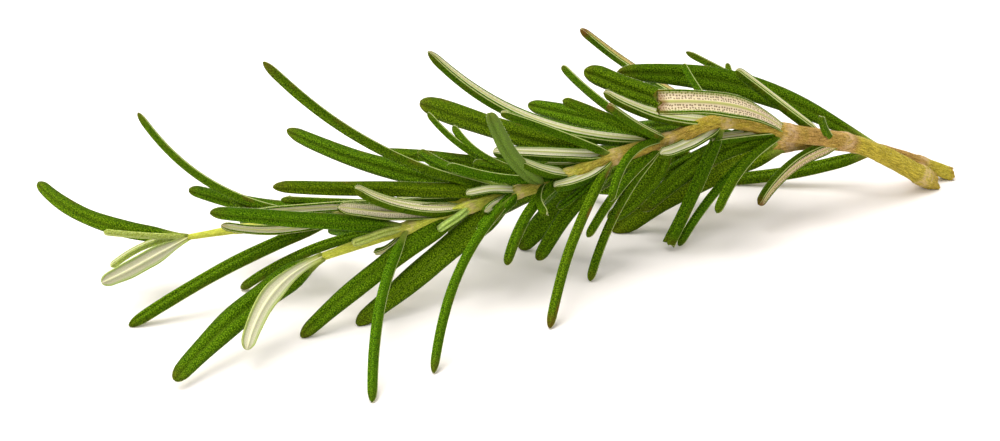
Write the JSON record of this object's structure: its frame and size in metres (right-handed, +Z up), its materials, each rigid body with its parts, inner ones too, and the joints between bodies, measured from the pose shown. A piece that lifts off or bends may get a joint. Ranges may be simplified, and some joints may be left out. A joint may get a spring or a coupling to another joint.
{
  "type": "rosemary sprig",
  "caption": "Cut sprig of rosemary lying on its side, with narrow rolled leaves in a fan, a low second shoot behind and a small side shoot; garnish or kitchen dressing",
  "frame": {"origin": "middle of the footprint, on the surface that the sprig lies on", "axes": "+X along the sprig towards its cut ends, +Y towards the back, +Z up"},
  "size_m": [0.1288, 0.0757, 0.0332],
  "materials": {
    "leaf": "satin and pebbled above, cream felt beneath",
    "young_leaf": "satin above, cream felt beneath",
    "stem": "matt bark, olive-yellow to pinkish brown"
  },
  "bodies": {
    "root": {"main_shoot": "leaf", "second_shoot": "leaf", "side_shoot": "young_leaf"}
  },
  "joints": []
}
